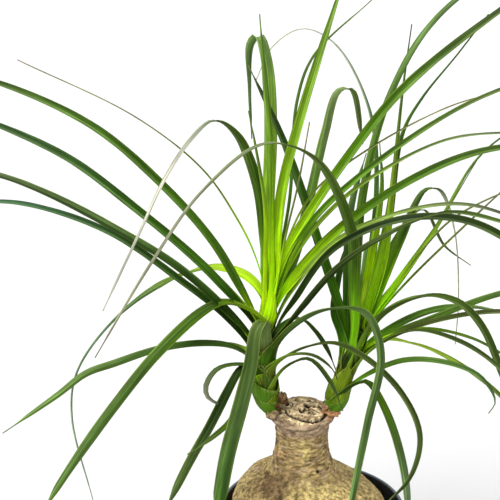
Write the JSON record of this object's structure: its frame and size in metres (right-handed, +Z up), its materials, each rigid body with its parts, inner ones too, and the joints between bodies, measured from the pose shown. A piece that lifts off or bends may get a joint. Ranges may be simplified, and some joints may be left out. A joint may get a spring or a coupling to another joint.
{
  "type": "potted ponytail palm",
  "caption": "Ponytail palm in a plain nursery pot: swollen caudex, short neck with a sawn top and leafy shoots at the cut's edge whose long strap leaves arch over.",
  "frame": {"origin": "centre of the pot's flat underside", "axes": "+Z up; +X to the viewer's right and +Y away from the viewer in the front view, in which one shoot stands left of the sawn cut and the other right of it"},
  "size_m": [0.6035, 0.3927, 0.6284],
  "materials": {
    "pot_plastic": "moulded black polypropylene, lightly satin",
    "potting_mix": "moist peat and bark crumbs",
    "bark": "dry corky bark with fine cracks and pale flecks",
    "leaf": "living strap leaf with fine lengthwise ribs and a soft sheen"
  },
  "bodies": {
    "root": {"pot": "pot_plastic", "soil": "potting_mix", "trunk": "bark", "left_shoot": "leaf", "right_shoot": "leaf"}
  },
  "joints": []
}
